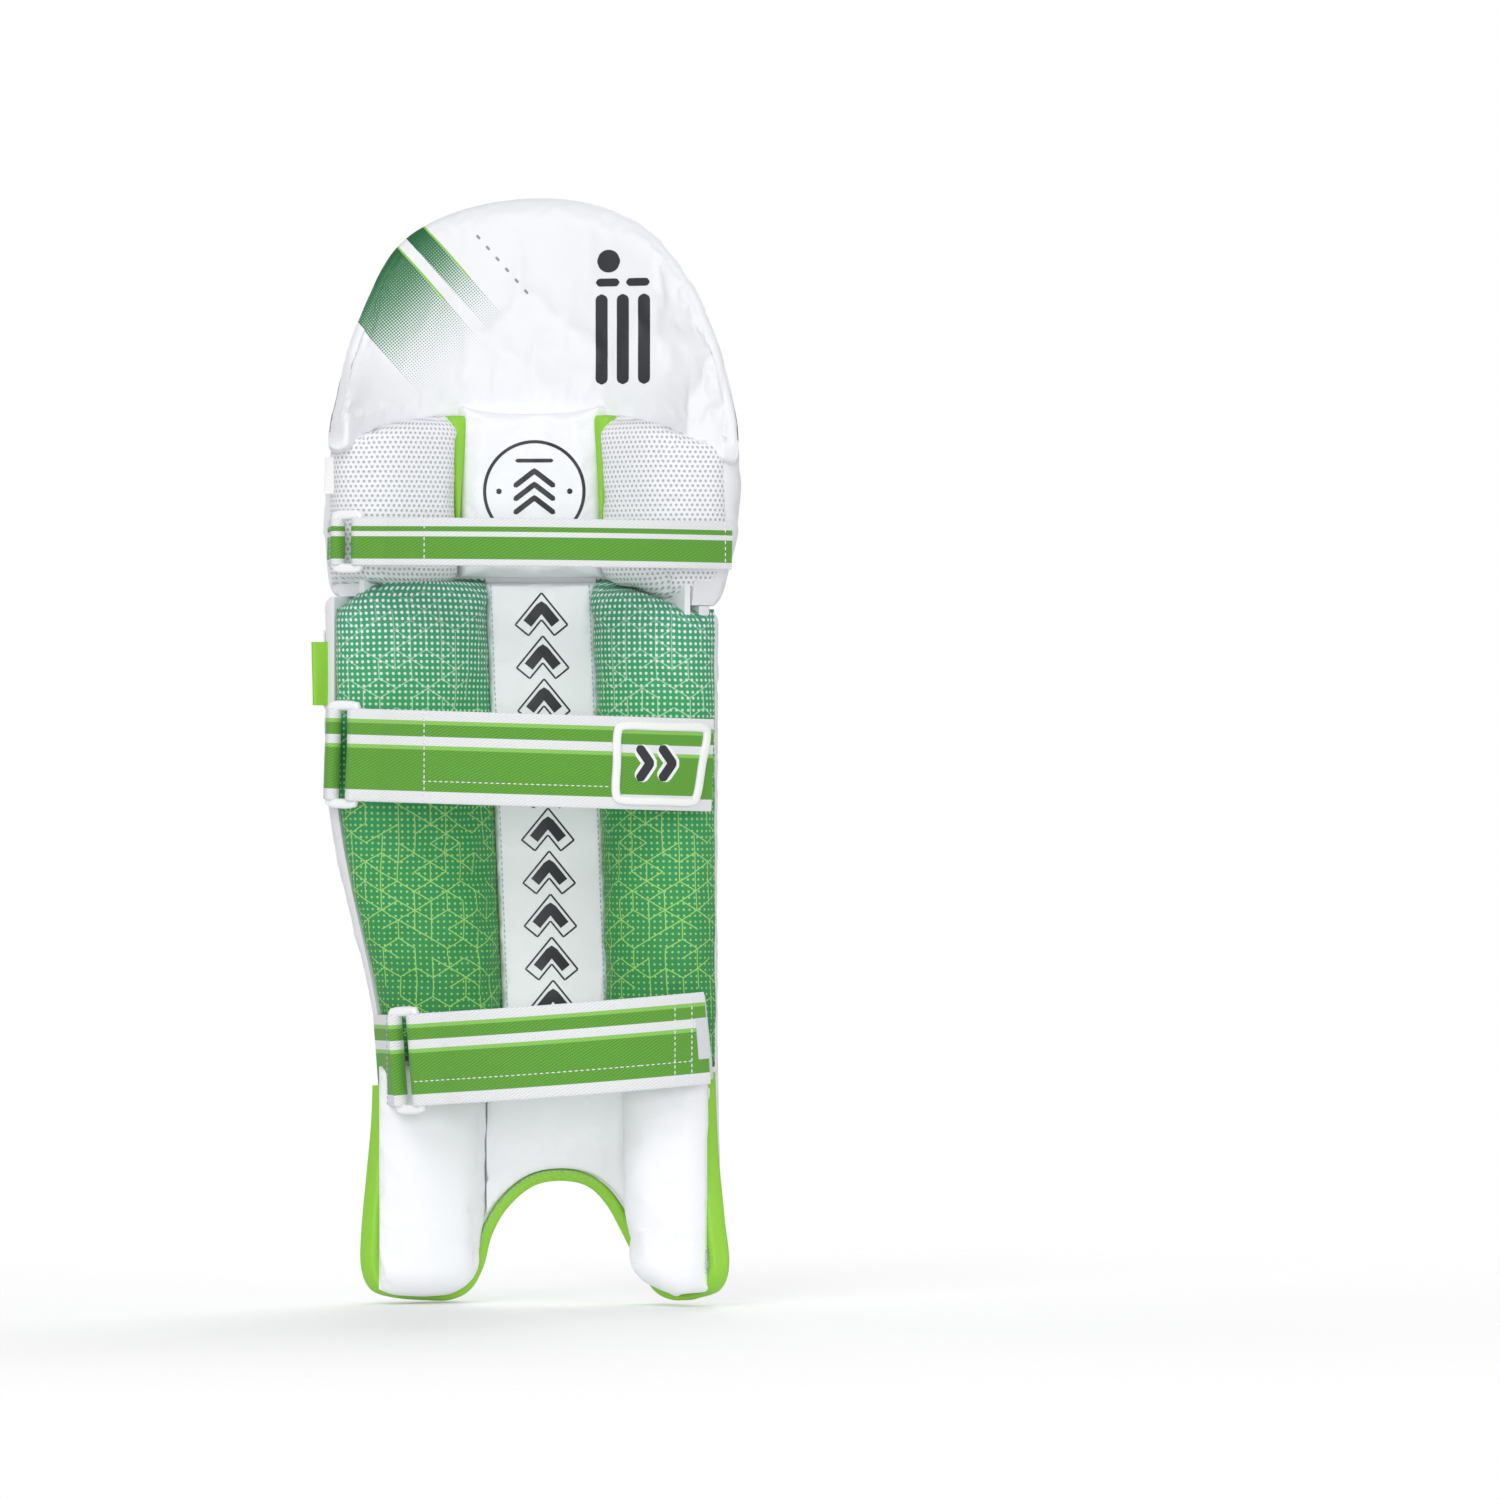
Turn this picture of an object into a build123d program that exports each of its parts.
"""Cricket batting leg pad: an upright, padded guard for a left shin, knee and lower thigh.

Row frame, millimetres. +Z is up along the leg and Z = 0 is the lowest edge of the two feet.
-Y is the striking face and +Y the strap side. +X is the outer side, which carries the calf wing
and the strap loops. The origin is on the leg's axis, level with the lowest edge.

The pad's cross-section is a set of layers on arcs about one upright axis behind the leg axis, so
most pieces are given by a radius and an angle about it. Angle 0 faces -Y and grows towards +X.
From front to back: face cover, foam rolls with canes in them, core board, rear lining, bolsters.
"""

from build123d import *
import os
from math import asin, atan2, cos, degrees, hypot, radians, sin, sqrt

# ---- driving dimensions -----------------------------------------------------------------
ARC_Y = 50.0  # Y of the upright axis that the layers are arcs about
GAP = 0.3  # clear space left between neighbouring pieces

Z_TOP = 700.0
Z_HAT = 564.0  # seam between knee section and top hat, and height of the knee flex axis
Z_KNEE = 454.5  # seam between shin and knee section
Z_INSTEP = 158.0  # top of the instep panel
Z_FOOT_BOLSTER = 148.0  # top of the white foot bolsters, hidden by the ankle strap
Z_FOOT = 7.0  # underside of the rolls and the core, above the binding

R_LINING = (120.0, 121.5)
R_CORE = (121.8, 131.5)
R_ROLL = (132.0, 143.0, 150.5)  # back, seam valley, crown
R_KNEE_ROLL = (132.0, 150.0, 162.5)
R_WING = (138.5, 149.0)
R_BOLSTER = 119.7  # where a bolster's flat side meets the lining
SKIN = 1.2  # thickness of the face cover

ROLL_SEAMS = [-47.5, -34.5, -20.5, -6.0, 7.5, 21.5, 35.0]  # angles of the sewn channels
SIDE_INNER = -56.3  # inner edge of the shin, an angle
SIDE_OUTER = 56.0  # outer edge of the calf wing
KNEE_SIDES = (-61.5, -54.0, 37.3, 52.0)  # inner edge, roll ends, outer edge of the knee section
HAT_SIDES = ((-65.5, 149.5), (52.7, 148.4))  # angle and radius of the top hat's two thin edges

CANE_R = 139.5  # arc that the canes stand on
CANE_RADIUS = 4.0

FLEX_Y = -50.0  # Y of the knee flex axis
FLEX_MAX = 15.0  # degrees that the top hat tilts back

HAT_BACK_ARC = (7.0, 120.0)  # centre of the flatter arc of the top hat's back panel
HAT_BACK_R = (186.0, 195.0)

BINDING_WIDTH = 6.5
STRAP_T = 2.2
LOOP_T = 3.5
LOOP_WIDTH = 23.0
LOOP_BAR = 5.5
WRAP_R = 3.4  # inside of the webbing turn round a loop's bar

# name: webbing width, height of the loop's centre, lean in degrees, X of the loop, peel line and
# free end, the three points of the strap's inner face, and where its anchor tab is sewn in
STRAPS = {
    "knee": dict(width=30.0, z=480.0, lean=-0.6, loop_x=105.0, peel_x=-98.0, end_x=-134.0,
                 path=((113.0, 4.0), (-6.0, 41.0), (-136.0, -1.0)), sewn=(118.5, -38.0)),
    "calf": dict(width=58.0, z=346.5, lean=-1.7, loop_x=108.0, peel_x=-58.0, end_x=-122.0,
                 path=((116.0, 4.0), (-3.0, 41.0), (-124.0, 3.0)), sewn=(120.0, -30.0)),
    "ankle": dict(width=58.0, z=154.5, lean=4.3, loop_x=68.0, peel_x=-78.0, end_x=-119.0,
                  path=((76.0, -5.0), (-20.0, 35.0), (-122.0, 3.0)), sewn=(88.0, -49.0)),
}


# ---- shape helpers ----------------------------------------------------------------------
def at(r, angle):
    """The point (x, y) at a radius and angle about the section's axis."""
    return (r * sin(radians(angle)), ARC_Y - r * cos(radians(angle)))


def arc(r, a0, a1):
    return ThreePointArc(at(r, a0), at(r, (a0 + a1) / 2), at(r, a1))


def raised(sketch, z0, z1):
    """A flat section in the XY plane made solid from z0 up to z1."""
    return Pos(0, 0, z0) * extrude(sketch, amount=z1 - z0)


def sector(r0, r1, a0, a1):
    return make_face([arc(r1, a0, a1), Line(at(r1, a1), at(r0, a1)),
                      arc(r0, a1, a0), Line(at(r0, a0), at(r1, a0))])


def wall(radii, a0, a1, z0, z1):
    return raised(sector(radii[0], radii[1], a0, a1), z0, z1)


def crowned(r_back, r_edge, r_crown, a0, a1):
    """A channel's section: flat to the board at the back and crowned at the front."""
    front = ThreePointArc(at(r_edge, a0), at(r_crown, (a0 + a1) / 2), at(r_edge, a1))
    return make_face([front, Line(at(r_edge, a1), at(r_back, a1)),
                      arc(r_back, a1, a0), Line(at(r_back, a0), at(r_edge, a0))])


def degrees_for(length, r):
    return degrees(length / r)


def ring_solid(points, bulge, a0, a1):
    """Turns a (radius, z) outline with one crowned front about the axis, from a0 to a1."""
    (r0, z0), (r1, z1) = points
    plane = Plane(origin=(0, ARC_Y, 0), x_dir=(sin(radians(a0)), -cos(radians(a0)), 0),
                  z_dir=(-cos(radians(a0)), -sin(radians(a0)), 0))
    outline = make_face([Line((r0, z0), (r1, z0)), ThreePointArc((r1, z0), (bulge, (z0 + z1) / 2), (r1, z1)),
                         Line((r1, z1), (r0, z1)), Line((r0, z1), (r0, z0))])
    return revolve(plane * outline, axis=Axis((0, ARC_Y, 0), (0, 0, 1)), revolution_arc=a1 - a0)


def prism(lines):
    """A front outline in X and Z made into a solid that runs right through the pad along Y."""
    face = Plane.XZ * make_face(lines)
    return extrude(face, amount=250, both=True)


def only_solids(shape):
    """The shape's solids that are more than slivers, as one compound."""
    kept = [s for s in shape.solids() if s.volume > 20]
    return kept[0] if len(kept) == 1 else Compound(children=kept)


def softened(shape, edges, radius):
    """Rounds edges where the shape allows it, and otherwise leaves them sharp."""
    try:
        rounded = fillet(edges, radius)
    except (ValueError, RuntimeError):
        return shape
    return rounded if rounded.is_valid else shape


# ---- outlines seen from the front -------------------------------------------------------
HAT_OUTLINE = [(119, 556), (115, 572), (109, 600), (100, 625), (83, 661), (62, 681), (28, 695), (-12, 700),
               (-50, 695), (-84, 678), (-110, 644), (-121, 620), (-129, 598), (-136, 568), (-138, 556)]

# The lower edge, from the outer side round both feet and the arch between them to the inner side.
LOWER_EDGE = [(90, 150), (91, 115), (94, 80), (97, 45), (97, 22), (91, 8), (78, 2.5), (62, 0.5), (45, 0.3),
              (32, 6.5), (23.5, 21), (18, 41), (8, 58), (-8, 71.5), (-26, 75.5), (-44, 72.5), (-57, 61),
              (-68, 42), (-78, 23), (-88, 8), (-100, 2.5), (-113, 3.5), (-126, 10), (-131, 26), (-128, 55),
              (-124, 99), (-122, 150)]


def set_in(points, width):
    """The points of a run moved square to it, to the right of its direction."""
    moved = []
    for i, (x, z) in enumerate(points):
        x0, z0 = points[max(i - 1, 0)]
        x1, z1 = points[min(i + 1, len(points) - 1)]
        d = hypot(x1 - x0, z1 - z0)
        moved.append((x + width * (z1 - z0) / d, z - width * (x1 - x0) / d))
    return moved


def lower_prism(width):
    """Room above the lower edge, a width inside it."""
    points = set_in(LOWER_EDGE, width)
    (x0, z0), (x1, z1) = points[0], points[-1]
    return prism([Spline(*points), Line((x1, z1), (x1, 240)), Line((x1, 240), (x0, 240)), Line((x0, 240), (x0, z0))])


def hat_prism(inset):
    """Room inside the top hat's dome, an inset away from its edge."""
    scale_x, scale_z = 1 - inset / 128, 1 - inset / 144
    points = [(x * scale_x, 556 + (z - 556) * scale_z) for x, z in HAT_OUTLINE]
    return prism([Spline(*points), Line(points[-1], points[0])])


def wing_taper():
    """Everything outside the calf wing's rear edge, which slopes in towards the ankle."""
    slope = make_face([Line((27.5, 470), (27.5, 345)), Line((27.5, 345), (-16, 128)),
                       Line((-16, 128), (90, 128)), Line((90, 128), (90, 470)), Line((90, 470), (27.5, 470))])
    facing = Plane(origin=(0, ARC_Y, 0), x_dir=(cos(radians(45)), sin(radians(45)), 0),
                   z_dir=(sin(radians(45)), -cos(radians(45)), 0))
    return extrude(facing * slope, amount=220)


def hat_relief():
    """The wedge behind the flex axis that the top hat needs to tilt back, with a little room."""
    reach = 160.0
    rise = reach * sin(radians(FLEX_MAX + 1)) / cos(radians(FLEX_MAX + 1))
    wedge = Plane.YZ * make_face([Line((-250, Z_HAT - 60), (-250, Z_HAT + GAP)),
                                  Line((-250, Z_HAT + GAP), (FLEX_Y, Z_HAT + GAP)),
                                  Line((FLEX_Y, Z_HAT + GAP), (FLEX_Y + reach, Z_HAT + GAP + rise)),
                                  Line((FLEX_Y + reach, Z_HAT + GAP + rise), (FLEX_Y + reach, Z_HAT - 60)),
                                  Line((FLEX_Y + reach, Z_HAT - 60), (-250, Z_HAT - 60))])
    return extrude(wedge, amount=250, both=True)


# ---- shin ---------------------------------------------------------------------------------
def core_board(foot_room):
    shin = wall(R_CORE, SIDE_INNER + 0.6, ROLL_SEAMS[-1], Z_FOOT, Z_KNEE + GAP)
    foot = wall(R_CORE, ROLL_SEAMS[-1] - 1, 44, Z_FOOT, 126) & foot_room
    knee = wall(R_CORE, KNEE_SIDES[0] + 0.6, KNEE_SIDES[3] - 0.6, Z_KNEE + GAP, Z_HAT - GAP)
    below = wall((100, 170), -70, 70, -5, 200) - foot_room
    return only_solids(shin + foot + knee - below)


def rear_lining(foot_room):
    skin = wall(R_LINING, SIDE_INNER + 0.6, ROLL_SEAMS[-1], Z_FOOT, Z_HAT - GAP)
    below = wall((100, 170), -70, 70, -5, 200) - foot_room
    return only_solids(skin - below)


def shin_roll(index, foot_room):
    a0 = SIDE_INNER if index == 0 else ROLL_SEAMS[index - 1] + 0.1
    a1 = ROLL_SEAMS[index] - 0.1
    over_instep = ROLL_SEAMS[2] - 1 < (a0 + a1) / 2 + 14 and (a0 + a1) / 2 < ROLL_SEAMS[4]
    z0 = Z_INSTEP + GAP if over_instep else Z_FOOT
    roll = raised(crowned(*R_ROLL, a0, a1), z0, Z_KNEE - GAP)
    if not over_instep:
        roll -= wall((100, 170), -70, 70, -5, 200) - foot_room
    if index:
        x, y = at(CANE_R, (a0 + a1) / 2)
        bore = Pos(x, y, z0 + 30) * Cylinder(CANE_RADIUS + 0.1, Z_KNEE - z0 - 60,
                                             align=(Align.CENTER, Align.CENTER, Align.MIN))
        roll -= bore
    return only_solids(roll)


def shin_canes():
    canes = []
    for index in range(1, 7):
        middle = (ROLL_SEAMS[index - 1] + ROLL_SEAMS[index]) / 2
        over_instep = -34 < middle < 7.5
        z0 = (Z_INSTEP + GAP if over_instep else Z_FOOT) + 30.5
        x, y = at(CANE_R, middle)
        canes.append(Pos(x, y, z0) * Cylinder(CANE_RADIUS, Z_KNEE - 30.5 - z0,
                                              align=(Align.CENTER, Align.CENTER, Align.MIN)))
    return Compound(children=canes)


def scalloped_skin(seams, r_crown, first, last):
    """A band of cover that follows the crowns of a row of rolls; the ends are (angle, radius)."""
    marks = [first, *[(a, R_ROLL[1] + GAP) for a in seams], last]
    near, far = [], []
    for (a0, r0), (a1, r1) in zip(marks[:-1], marks[1:]):
        middle = (a0 + a1) / 2
        near.append(ThreePointArc(at(r0, a0), at(r_crown, middle), at(r1, a1)))
        far.append(ThreePointArc(at(r0 + SKIN, a0), at(r_crown + SKIN, middle), at(r1 + SKIN, a1)))
    ends = [Line(at(r, a), at(r + SKIN, a)) for a, r in (first, last)]
    return make_face([*near, *far, *ends])


def shin_face_cover(foot_room):
    ends = [(a, R_ROLL[1] + GAP) for a in (SIDE_INNER, ROLL_SEAMS[-1])]
    skin = raised(scalloped_skin(ROLL_SEAMS[:-1], R_ROLL[2] + GAP, *ends), Z_FOOT, Z_KNEE - GAP)
    window = wall((140, 160), ROLL_SEAMS[1], ROLL_SEAMS[4], -1, Z_INSTEP)
    below = wall((100, 170), -70, 70, -5, 200) - foot_room
    return only_solids(skin - window - below)


def instep_panel(foot_room):
    pad = raised(crowned(R_ROLL[0], 140.5, 141.5, ROLL_SEAMS[1] + 0.1, ROLL_SEAMS[4] - 0.1), 40, Z_INSTEP - GAP)
    return only_solids(pad & foot_room)


def outer_wing():
    return only_solids(wall(R_WING, ROLL_SEAMS[-1] + 0.3, SIDE_OUTER, 128, Z_KNEE - GAP) - wing_taper())


def wing_mesh_panel():
    """The slanting vent strip laid on the wing's face."""
    strip = wall((R_WING[1] + 0.1, R_WING[1] + 1.3), ROLL_SEAMS[-1] + 0.6, SIDE_OUTER - 0.6, 320, Z_KNEE - GAP)
    slope = make_face([Line((-25, 322), (26, 377)), Line((26, 377), (26, 425)), Line((26, 425), (-25, 366)),
                       Line((-25, 366), (-25, 322))])
    facing = Plane(origin=(0, ARC_Y, 0), x_dir=(cos(radians(45)), sin(radians(45)), 0),
                   z_dir=(sin(radians(45)), -cos(radians(45)), 0))
    return only_solids(strip & extrude(facing * slope, amount=220))


# ---- knee section -------------------------------------------------------------------------
KNEE_LEVELS = [Z_KNEE, 499.0, 531.0, Z_HAT]


def knee_roll(level):
    z0, z1 = KNEE_LEVELS[level] + GAP / 2, KNEE_LEVELS[level + 1] - GAP / 2
    return ring_solid([(R_KNEE_ROLL[0], z0), (R_KNEE_ROLL[1], z1)], R_KNEE_ROLL[2], KNEE_SIDES[1], KNEE_SIDES[2])


def knee_wing(inner):
    z0, z1 = Z_KNEE + GAP / 2, Z_HAT - GAP / 2
    sides = (KNEE_SIDES[0], KNEE_SIDES[1] - 0.1) if inner else (KNEE_SIDES[2] + 0.1, KNEE_SIDES[3])
    return ring_solid([(R_KNEE_ROLL[0], z0), (148, z1)], 158, *sides)


def pillow(flat, crown, z0, z1, radius):
    """A soft block between a flat side, a run of lines, and a crowned side through polar points."""
    body = raised(make_face([*flat, Spline(*[at(r, a) for r, a in crown])]), z0, z1)
    return softened(body, body.edges().filter_by(Plane.XY), radius)


def knee_cushion(inner):
    z0, z1 = Z_KNEE + 2, Z_HAT - 2.5
    if inner:
        side = KNEE_SIDES[0] - 0.4
        flat = [Line(at(106, -30), at(R_BOLSTER, -30)), arc(R_BOLSTER, -30, side), Line(at(R_BOLSTER, side), at(147, side))]
        crown = [(147, side), (145, -64.5), (132, -66.5), (114, -63), (101, -54), (97, -42), (99, -34), (106, -30)]
    else:
        side = KNEE_SIDES[3] + 0.4
        flat = [Line(at(106, 20.5), at(R_BOLSTER, 20.5)), arc(R_BOLSTER, 20.5, side), Line(at(R_BOLSTER, side), at(146, side))]
        crown = [(146, side), (144, 55.5), (130, 59), (113, 58), (101, 50), (97, 38), (99, 26), (106, 20.5)]
    return pillow(flat, crown, z0, z1, 3)


def knee_locator_panel():
    a0, a1 = -29, 19.5
    flat = [Line(at(106, a0), at(R_BOLSTER, a0)), arc(R_BOLSTER, a0, a1), Line(at(R_BOLSTER, a1), at(106, a1))]
    crown = [(106, a1), (101, a1 - 6), (99, -5), (101, a0 + 6), (106, a0)]
    return pillow(flat, crown, Z_KNEE + 3, Z_HAT - 1.5, 2.5)


def knee_piping():
    """The two upstanding piped folds between locator panel and cushions."""
    folds = [wall((104.5, 117), a0, a1, Z_KNEE + 8, Z_HAT - 2) for a0, a1 in ((-29.85, -29.15), (19.65, 20.35))]
    return Compound(children=folds)


# ---- bolsters and inner lining -------------------------------------------------------------
def inner_bolster():
    flat = [Line(at(108, -24.5), at(R_BOLSTER, -24.5)), arc(R_BOLSTER, -24.5, -56.8),
            Line(at(R_BOLSTER, -56.8), at(143, -56.8))]
    crown = [(143, -56.8), (143, -60), (134, -63.5), (119, -64), (105, -59), (97, -48), (94.5, -38),
             (97, -29.5), (108, -24.5)]
    return pillow(flat, crown, Z_FOOT_BOLSTER + 2, Z_KNEE - 1, 4)


def outer_bolster():
    flat = [Line(at(106, 9), at(R_BOLSTER, 9)), arc(R_BOLSTER, 9, 35.3),
            Line(at(R_BOLSTER, 35.3), at(138, 35.3)), arc(138, 35.3, 56.4)]
    crown = [(138, 56.4), (136, 59.5), (124, 61.5), (109, 57), (98, 46), (93.5, 32), (95.5, 19), (106, 9)]
    soft = raised(make_face([*flat, Spline(*[at(r, a) for r, a in crown])]), Z_FOOT_BOLSTER + 2, Z_KNEE - 1)
    return only_solids(soft - wing_taper())


def centre_strip():
    return softened_strip(wall((111, R_BOLSTER), -23.8, 8.3, Z_FOOT_BOLSTER + 2, Z_KNEE + 1))


def softened_strip(strip):
    return softened(strip, strip.edges().filter_by(Axis.Z).sort_by(Axis.Y)[-2:], 3)


def instep_lining(foot_room):
    pad = wall((112, R_BOLSTER), -37.5, 8.8, 40, Z_FOOT_BOLSTER)
    return only_solids(pad & foot_room)


def foot_bolster(inner):
    if inner:
        side = SIDE_INNER - 0.6
        flat = [Line(at(106, -38), at(R_BOLSTER, -38)), arc(R_BOLSTER, -38, side), Line(at(R_BOLSTER, side), at(135, side))]
        crown = [(135, side), (136, -60), (128, -64.5), (113, -64.5), (101, -59), (95, -49), (97, -42), (106, -38)]
    else:
        flat = [Line(at(106, 9.3), at(R_BOLSTER, 9.3)), arc(R_BOLSTER, 9.3, 43)]
        crown = [(R_BOLSTER, 43), (115, 46.5), (104, 43), (96, 34), (94, 25), (96.5, 16), (106, 9.3)]
    body = raised(make_face([*flat, Spline(*[at(r, a) for r, a in crown])]), 3, Z_FOOT_BOLSTER)
    body = softened(body, body.edges().filter_by(Plane.XY).group_by(Axis.Z)[0], 9)
    return only_solids(body - instep_binding())


def instep_binding():
    """The bright tape round the feet and the arch, as deep as the board whose edge it wraps."""
    outline = lower_prism(0)
    depth = wall((R_BOLSTER + 0.4, R_CORE[1] + 0.2), SIDE_INNER - 0.3, 60, -2, 140)
    round_edge = depth & (outline - lower_prism(BINDING_WIDTH))
    toe = wall((R_BOLSTER + 0.4, 148), SIDE_INNER - 3.6, SIDE_INNER + 5, -1, 7.2) & outline
    side = wall((135.5, 148), SIDE_INNER - 3.6, SIDE_INNER - 0.3, 6, 147) & outline
    return only_solids(round_edge + toe + side)


def side_tab():
    """A folded pull tab sewn in at the outer edge."""
    tab = raised(strip(at(145, SIDE_OUTER - 1), (129.5, -27), 3), 377, 418)
    return max((tab - outer_wing() - outer_bolster()).solids(), key=lambda s: s.volume)


# ---- top hat ------------------------------------------------------------------------------
def top_hat_parts():
    relief = hat_relief()
    rear = Pos(HAT_BACK_ARC[0], HAT_BACK_ARC[1], 0) * Cylinder(
        HAT_BACK_R[1] + GAP, Z_TOP + 60, align=(Align.CENTER, Align.CENTER, Align.MIN))
    soft_room = hat_prism(3) - relief
    made = {}
    seams = ROLL_SEAMS
    top = Z_TOP + 5
    for i in range(6):
        roll = raised(crowned(*R_ROLL, seams[i] + 0.1, seams[i + 1] - 0.1), Z_HAT, top)
        roll = (roll - rear) & soft_room
        x, y = at(CANE_R, (seams[i] + seams[i + 1]) / 2)
        bore = Pos(x, y, Z_HAT + 18) * Cylinder(CANE_RADIUS + 0.1, hat_cane_length(x) + 1,
                                                align=(Align.CENTER, Align.CENTER, Align.MIN))
        made[f"top_hat_roll_{i + 1}"] = only_solids(roll - bore)
    canes = []
    for i in range(6):
        x, y = at(CANE_R, (seams[i] + seams[i + 1]) / 2)
        canes.append(Pos(x, y, Z_HAT + 18.5) * Cylinder(CANE_RADIUS, hat_cane_length(x),
                                                        align=(Align.CENTER, Align.CENTER, Align.MIN)))
    made["top_hat_canes"] = Compound(children=canes)
    sides = {"inner": (HAT_SIDES[0], seams[0] - 0.1), "outer": (HAT_SIDES[1], seams[-1] + 0.1)}
    for name, ((edge, r_edge), a1) in sides.items():
        front = ThreePointArc(at(r_edge, edge), at(R_ROLL[2], (edge + a1) / 2), at(R_ROLL[1], a1))
        side = raised(make_face([front, Line(at(R_ROLL[1], a1), at(R_ROLL[0], a1)),
                                 arc(R_ROLL[0], a1, edge), Line(at(R_ROLL[0], edge), at(r_edge, edge))]), Z_HAT, top)
        made[f"top_hat_side_{name}"] = only_solids((side - rear) & soft_room)
    board = wall((60, R_CORE[1]), HAT_SIDES[0][0], HAT_SIDES[1][0], Z_HAT, top)
    made["top_hat_core"] = only_solids((board - rear) & soft_room)
    x0, y0 = HAT_BACK_ARC
    ring = Pos(x0, y0, 0) * (Cylinder(HAT_BACK_R[1], top, align=(Align.CENTER, Align.CENTER, Align.MIN))
                             - Cylinder(HAT_BACK_R[0], top, align=(Align.CENTER, Align.CENTER, Align.MIN)))
    front_half = Pos(0, -140, 600) * Box(262, 260, 260)
    made["top_hat_back_panel"] = only_solids((ring & front_half & hat_prism(1)) - relief)
    ends = [(a, r + GAP) for a, r in HAT_SIDES]
    skin = raised(scalloped_skin(seams, R_ROLL[2] + GAP, *ends), Z_HAT, top)
    made["top_hat_face_cover"] = only_solids((skin & hat_prism(0)) - relief - rear)
    return made


def hat_cane_length(x):
    """A cane stops 26 mm under the dome, whose height falls off to the sides."""
    return Z_TOP - 26 - Z_HAT - 18 - 0.0062 * (x + 12) ** 2


# ---- straps -------------------------------------------------------------------------------
def circle_through(points):
    """Centre (x, y) and radius of the circle through three points."""
    (ax, ay), (bx, by), (cx, cy) = points
    d = 2 * (ax * (by - cy) + bx * (cy - ay) + cx * (ay - by))
    a2, b2, c2 = ax * ax + ay * ay, bx * bx + by * by, cx * cx + cy * cy
    x = (a2 * (by - cy) + b2 * (cy - ay) + c2 * (ay - by)) / d
    y = (a2 * (cx - bx) + b2 * (ax - cx) + c2 * (bx - ax)) / d
    return x, y, hypot(ax - x, ay - y)


class Lay:
    """Where a strap lies: its circle, and points and directions along it, in its own flat plane."""

    def __init__(self, spec):
        self.spec = spec
        self.cx, self.cy, self.r = circle_through(spec["path"])

    def angle(self, x):
        """The circle's angle, from +X, of the path's point with this x."""
        return degrees(atan2(sqrt(self.r ** 2 - (x - self.cx) ** 2), x - self.cx))

    def point(self, angle, out=0.0):
        return (self.cx + (self.r + out) * cos(radians(angle)), self.cy + (self.r + out) * sin(radians(angle)))

    def band(self, x0, x1, low, high):
        """A strip along the path between two x, from low to high outside its inner face."""
        a0, a1 = self.angle(x0), self.angle(x1)
        middle = (a0 + a1) / 2
        outer = [self.point(a, high) for a in (a0, middle, a1)]
        inner = [self.point(a, low) for a in (a1, middle, a0)]
        return make_face([ThreePointArc(*outer), Line(outer[-1], inner[0]),
                          ThreePointArc(*inner), Line(inner[-1], outer[0])])

    def loop_frame(self):
        """The loop's centre and the unit vectors along the strap and out of it."""
        a = radians(self.angle(self.spec["loop_x"]))
        centre = self.point(degrees(a), 1.1)
        return centre, (-sin(a), cos(a)), (cos(a), sin(a))

    def bar(self, side):
        """The centre of the tab's bar (-1) or the strap's bar (+1)."""
        (x, y), (tx, ty), _ = self.loop_frame()
        reach = side * (LOOP_WIDTH - LOOP_BAR) / 2
        return x + tx * reach, y + ty * reach

    def placed(self, shape):
        """A shape drawn about z = 0 in the strap's plane, leaned and lifted to its height."""
        (x, y), _, _ = self.loop_frame()
        lean = Rotation(0, self.spec["lean"], 0)
        return Pos(x, y, self.spec["z"]) * lean * Pos(-x, -y, 0) * shape


def upright(sketch, height):
    return extrude(sketch, amount=height / 2, both=True)


def strip(p0, p1, thickness):
    """A straight strip from one point to another."""
    (x0, y0), (x1, y1) = p0, p1
    d = hypot(x1 - x0, y1 - y0)
    nx, ny = -(y1 - y0) / d * thickness / 2, (x1 - x0) / d * thickness / 2
    return make_face(Polyline((x0 + nx, y0 + ny), (x1 + nx, y1 + ny), (x1 - nx, y1 - ny), (x0 - nx, y0 - ny),
                              close=True))


def disc(point, radius):
    return Pos(*point) * Circle(radius)


def plastic_loop(lay):
    """A moulded rectangular loop with one slot, lying along the strap."""
    height = lay.spec["width"] + 8
    (x, y), (tx, ty), (nx, ny) = lay.loop_frame()
    plane = Plane(origin=(x, y, 0), x_dir=(tx, ty, 0), z_dir=(nx, ny, 0))
    slot = RectangleRounded(LOOP_WIDTH - 2 * LOOP_BAR, lay.spec["width"] + 1.5, 1.5)
    body = extrude(plane * (RectangleRounded(LOOP_WIDTH, height, 6) - slot), amount=LOOP_T / 2, both=True)
    body = softened(body, body.edges().group_by(Axis((x, y, 0), (nx, ny, 0)))[-1], 0.8)
    return lay.placed(body)


def anchor_tab(lay):
    """Webbing sewn in at the pad's edge and turned round the loop's first bar."""
    bar = lay.bar(-1)
    turn = disc(bar, WRAP_R + STRAP_T) - disc(bar, WRAP_R)
    tail = strip(lay.spec["sewn"], bar, 2 * STRAP_T) - disc(bar, WRAP_R + 0.2)
    return lay.placed(upright(turn + tail, lay.spec["width"] - 0.6))


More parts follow.
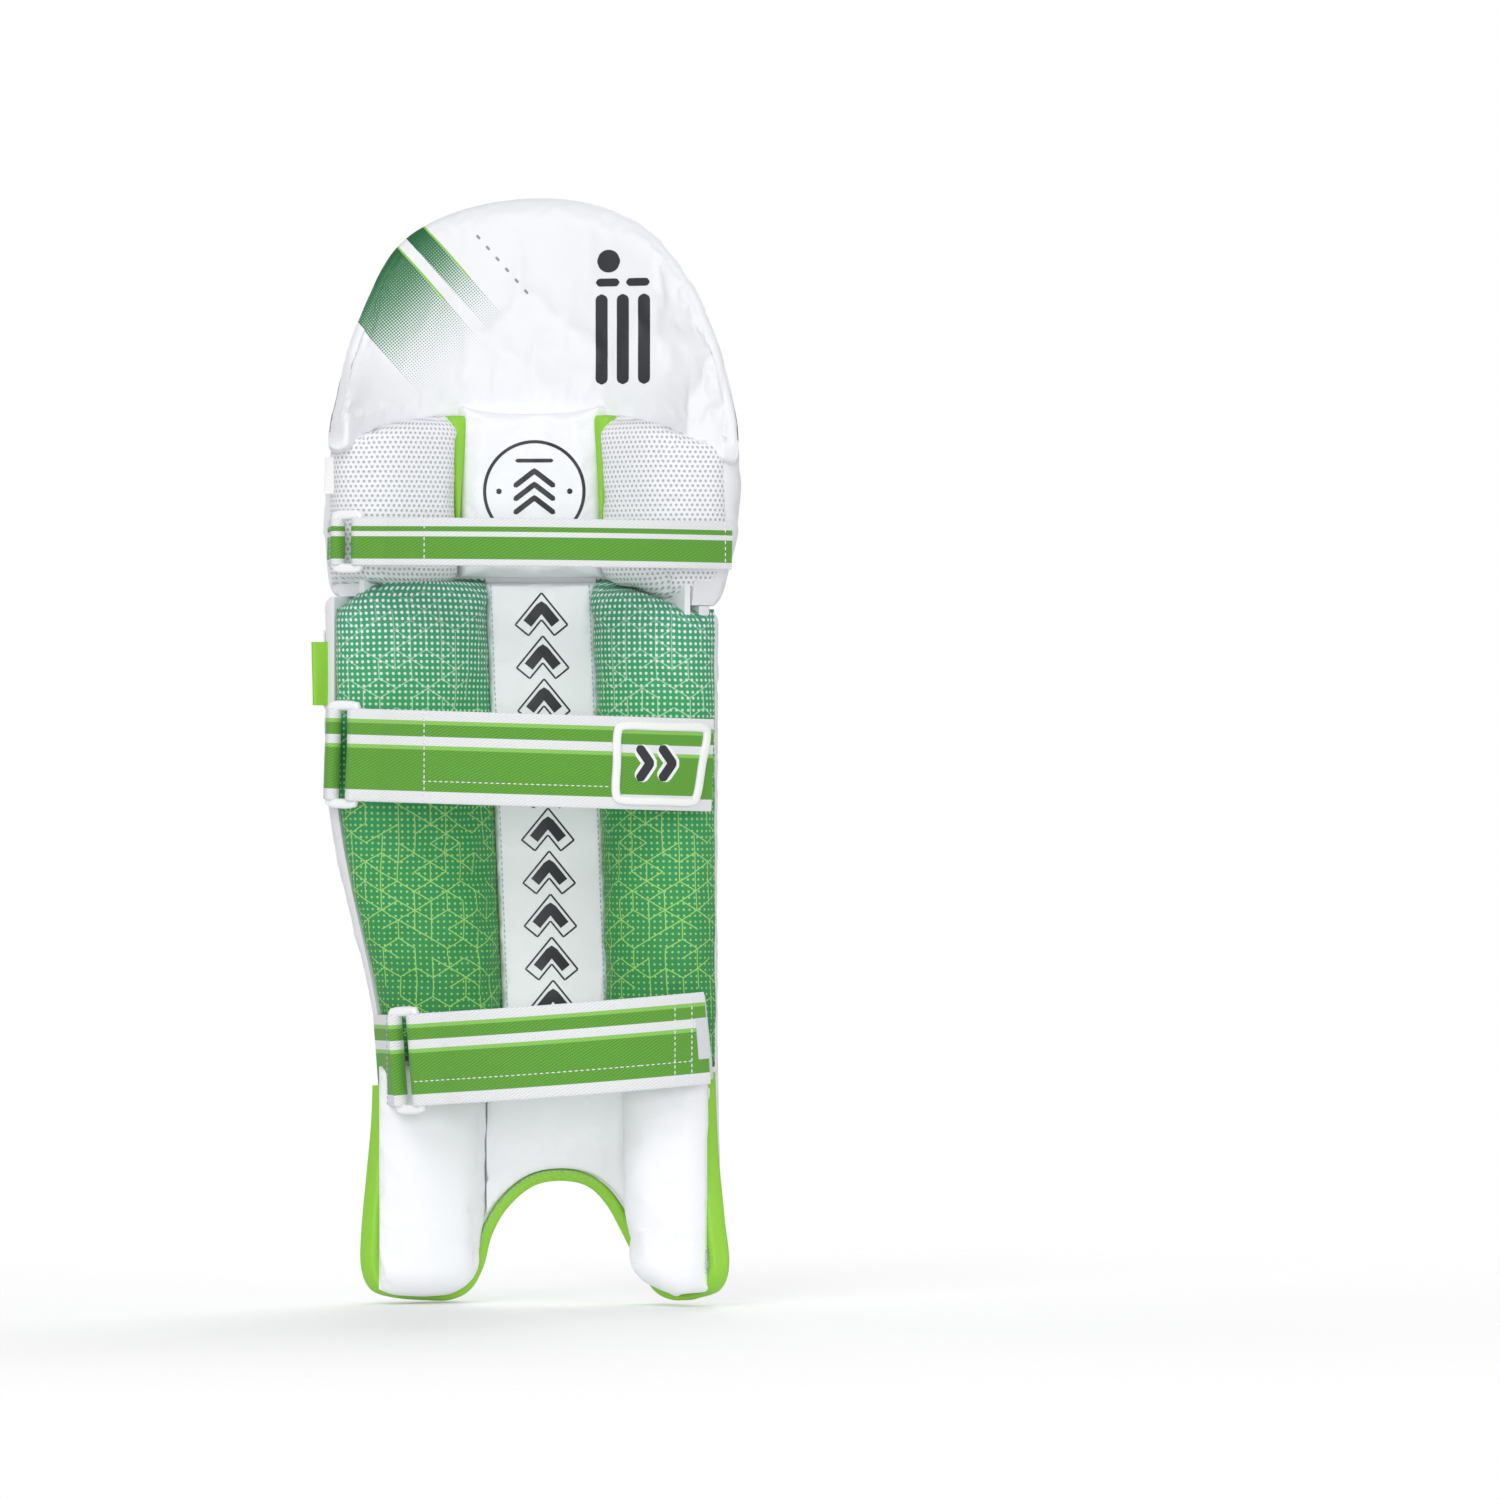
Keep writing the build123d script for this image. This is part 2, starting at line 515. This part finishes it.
def strap(lay):
    """The main webbing: a turn round the loop's second bar, the long ply and the sewn-back end."""
    bar = lay.bar(1)
    turn = disc(bar, WRAP_R + STRAP_T) - disc(bar, WRAP_R)
    long_ply = lay.band(bar[0] - 16, lay.spec["peel_x"] + 0.2, 0, STRAP_T)
    fold_ply = lay.band(bar[0] - 16, bar[0] - 46, -STRAP_T, 0.05)
    (_, (tx, ty), (nx, ny)) = lay.loop_frame()
    reach = WRAP_R + STRAP_T / 2
    start_out = (bar[0] + nx * reach, bar[1] + ny * reach)
    start_in = (bar[0] - nx * reach, bar[1] - ny * reach)
    a = lay.angle(bar[0] - 17)
    lead_out = strip(start_out, lay.point(a, STRAP_T / 2), STRAP_T)
    lead_in = strip(start_in, lay.point(a, -STRAP_T / 2), STRAP_T)
    section = turn + ((lead_out + lead_in) - disc(bar, WRAP_R + 0.2)) + long_ply + fold_ply
    return lay.placed(upright(section, lay.spec["width"]))


def strap_tip(lay):
    return lay.placed(upright(lay.band(lay.spec["peel_x"] - 0.1, lay.spec["end_x"], 0, STRAP_T), lay.spec["width"]))


def hook_patch(lay):
    band = lay.band(lay.spec["peel_x"] - 3, lay.spec["end_x"] + 2, -1.2, -0.05)
    return lay.placed(upright(band, lay.spec["width"] - 8))


def landing(lay, edge):
    """The soft patch that the hooks grip, and the tail that sews it to the pad's inner edge."""
    patch = lay.band(lay.spec["peel_x"] - 4, lay.spec["end_x"] + 1, -3.6, -1.6)
    x, y = lay.point(lay.angle(lay.spec["end_x"] + 1), -2.6)
    tail = strip((x, y), edge, 2.0)
    return lay.placed(upright(patch + tail, lay.spec["width"] - 4))


def badge(lay):
    """The moulded pull badge on the calf strap's free end: a frame round a sunk panel."""
    width, height = 62.0, 53.0
    plate = lay.band(lay.spec["peel_x"] - 1.5, lay.spec["end_x"] + 0.5, STRAP_T + 0.05, STRAP_T + 2.6)
    sunk = lay.band(lay.spec["peel_x"] - 6, lay.spec["end_x"] + 6, STRAP_T + 1.6, STRAP_T + 3.2)
    body = upright(plate, height) - upright(sunk, height - 11)
    return lay.placed(body)


# ---- build --------------------------------------------------------------------------------
def build():
    foot_room = lower_prism(BINDING_WIDTH + GAP)
    parts = {
        "core_board": core_board(foot_room),
        "rear_lining": rear_lining(foot_room),
        "shin_canes": shin_canes(),
        "shin_face_cover": shin_face_cover(foot_room),
        "instep_panel": instep_panel(foot_room),
        "outer_wing": outer_wing(),
        "wing_mesh_panel": wing_mesh_panel(),
        "knee_wing_inner": knee_wing(True),
        "knee_wing_outer": knee_wing(False),
        "knee_cushion_inner": knee_cushion(True),
        "knee_cushion_outer": knee_cushion(False),
        "knee_locator_panel": knee_locator_panel(),
        "knee_piping": knee_piping(),
        "centre_strip": centre_strip(),
        "bolster_inner": inner_bolster(),
        "bolster_outer": outer_bolster(),
        "foot_bolster_inner": foot_bolster(True),
        "foot_bolster_outer": foot_bolster(False),
        "instep_lining": instep_lining(foot_room),
        "instep_binding": instep_binding(),
        "side_tab": side_tab(),
    }
    for index in range(7):
        parts[f"shin_roll_{index + 1}"] = shin_roll(index, foot_room)
    for level, name in enumerate(("lower", "middle", "upper")):
        parts[f"knee_roll_{name}"] = knee_roll(level)
    parts.update(top_hat_parts())

    tabs, landings = [], []
    edges = {"knee": (-127, -22), "calf": (-122, -20), "ankle": (-121, -18)}
    for name, spec in STRAPS.items():
        lay = Lay(spec)
        parts[f"{name}_loop"] = plastic_loop(lay)
        parts[f"{name}_strap"] = strap(lay)
        parts[f"{name}_strap_tip"] = strap_tip(lay)
        parts[f"{name}_hook_patch"] = hook_patch(lay)
        tabs.append(anchor_tab(lay))
        landings.append(landing(lay, edges[name]))
    parts["calf_badge"] = badge(Lay(STRAPS["calf"]))

    pad_edges = [parts[n] for n in ("bolster_outer", "bolster_inner", "outer_wing", "knee_cushion_inner",
                                    "knee_cushion_outer", "knee_wing_outer", "knee_wing_inner",
                                    "foot_bolster_inner", "foot_bolster_outer", "shin_roll_1", "shin_roll_7",
                                    "core_board", "rear_lining", "instep_binding")]
    parts["strap_anchor_tabs"] = Compound(children=[trimmed(tab, pad_edges) for tab in tabs])
    parts["loop_patches"] = Compound(children=[trimmed(patch, pad_edges) for patch in landings])
    return parts


def trimmed(piece, others):
    """The piece's largest solid once the others' room is taken from it."""
    for other in others:
        piece = piece - other
    return max(piece.solids(), key=lambda s: s.volume)


def main():
    os.makedirs("parts", exist_ok=True)
    for name, shape in build().items():
        solids = shape.solids()
        print(name, len(solids), round(sum(s.volume for s in solids)))
        export_step(shape, f"parts/{name}.step")
    for name, spec in STRAPS.items():
        lay = Lay(spec)
        print(name, "bars", lay.bar(-1), lay.bar(1), "peel", lay.point(lay.angle(spec["peel_x"]), STRAP_T),
              "loop", lay.loop_frame()[0])


main()
